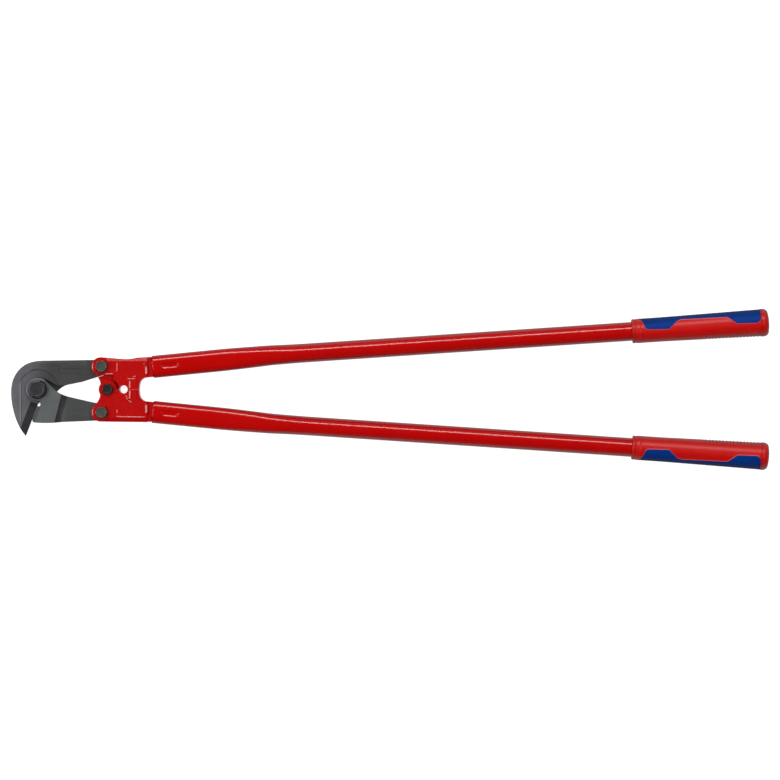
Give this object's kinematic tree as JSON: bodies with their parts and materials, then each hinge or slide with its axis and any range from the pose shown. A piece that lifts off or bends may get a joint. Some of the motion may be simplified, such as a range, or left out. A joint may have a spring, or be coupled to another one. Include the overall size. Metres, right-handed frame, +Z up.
{
  "type": "rebar cutter",
  "caption": "Two-handed compound-lever cutter for concrete reinforcing mesh: hooked and short jaws, forged toggle levers, tubular arms and moulded grips.",
  "frame": {"origin": "on the floor, under the middle of the tool's length and width, with the tool lying flat and closed", "axes": "+X from the jaws to the grips, +Y from the lower handle to the upper one, +Z up from the floor, parallel to every pivot bolt"},
  "size_m": [0.95, 0.2022, 0.035],
  "materials": {
    "forged_steel": "phosphated forged steel, dark grey, satin",
    "bolt_steel": "blackened steel, satin",
    "red_enamel": "glossy powder coat",
    "red_grip": "satin moulded plastic",
    "blue_inlay": "soft satin rubber"
  },
  "bodies": {
    "lower_jaw": {"lower_jaw": "forged_steel", "jaw_bolt": "bolt_steel", "jaw_washer": "bolt_steel", "jaw_nut": "bolt_steel"},
    "upper_jaw": {"upper_jaw": "forged_steel"},
    "lower_handle": {"lower_lever": "red_enamel", "lower_side_bolt": "bolt_steel", "lower_side_washer": "bolt_steel", "lower_side_nut": "bolt_steel", "toggle_bolt": "bolt_steel", "toggle_washer": "bolt_steel", "toggle_nut": "bolt_steel", "lower_tube": "red_enamel", "lower_grip": "red_grip", "lower_grip_inlay": "blue_inlay"},
    "upper_handle": {"upper_lever": "red_enamel", "upper_side_bolt": "bolt_steel", "upper_side_washer": "bolt_steel", "upper_side_nut": "bolt_steel", "upper_tube": "red_enamel", "upper_grip": "red_grip", "upper_grip_inlay": "blue_inlay"}
  },
  "joints": [
    {"name": "handle_open", "type": "hinge", "parent": "lower_jaw", "child": "lower_handle", "pos_m": [-0.3613, -0.0288, 0.0175], "axis": [0, 0, -1], "range_deg": [0, 48.21]},
    {"name": "jaw_open", "type": "hinge", "parent": "lower_jaw", "child": "upper_jaw", "pos_m": [-0.4415, 0, 0.0175], "axis": [0, 0, -1], "range_deg": [0, 16.43]},
    {"name": "upper_handle_open", "type": "hinge", "parent": "upper_jaw", "child": "upper_handle", "pos_m": [-0.3613, 0.0288, 0.0175], "axis": [0, 0, 1], "range_deg": [0, 48.21]}
  ],
  "couplings": [
    {"joint": "jaw_open", "follows": "handle_open", "ratio": 0.34068},
    {"joint": "upper_handle_open", "follows": "handle_open", "ratio": 1}
  ]
}
